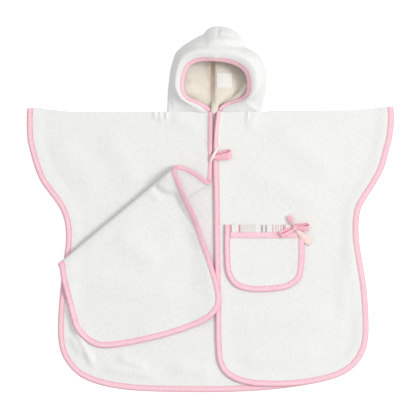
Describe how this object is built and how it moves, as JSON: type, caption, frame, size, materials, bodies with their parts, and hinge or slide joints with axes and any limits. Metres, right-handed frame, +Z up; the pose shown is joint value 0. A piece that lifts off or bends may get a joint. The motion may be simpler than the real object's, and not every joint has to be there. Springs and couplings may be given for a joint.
{
  "type": "hooded bath poncho for a toddler",
  "caption": "Hooded terry bath poncho laid flat, front up, with open bound sides, a patch pocket with a bow, a neck tie, and one front folded into a diagonal tuck",
  "frame": {"origin": "under the middle of the laid poncho, on the surface it lies on", "axes": "+Z up from the surface, +Y from the hem to the hood, +X to the wearer's left, which is the viewer's right from above"},
  "size_m": [0.605, 0.6025, 0.0471],
  "materials": {
    "terry": "white cotton terry, matt, looped pile",
    "hood_terry": "white cotton terry, matt, looped pile",
    "pink_binding": "pale pink cotton bias binding, matt",
    "pink_ribbon": "pale pink cotton ribbon, matt",
    "printed_tape": "cotton tape printed with plain upright stripes",
    "label_satin": "off-white woven label, left bare"
  },
  "bodies": {
    "root": {"back_panel": "terry", "back_binding": "pink_binding", "left_front_panel": "terry", "left_front_binding": "pink_binding", "right_front_panel": "terry", "right_front_binding": "pink_binding", "hood_left": "hood_terry", "hood_right": "hood_terry", "hood_binding": "pink_binding", "label": "label_satin", "pocket_panel": "terry", "pocket_binding": "pink_binding", "pocket_stripes": "printed_tape", "pocket_strip": "pink_binding", "pocket_bow": "pink_ribbon", "neck_tie": "pink_ribbon"}
  },
  "joints": []
}
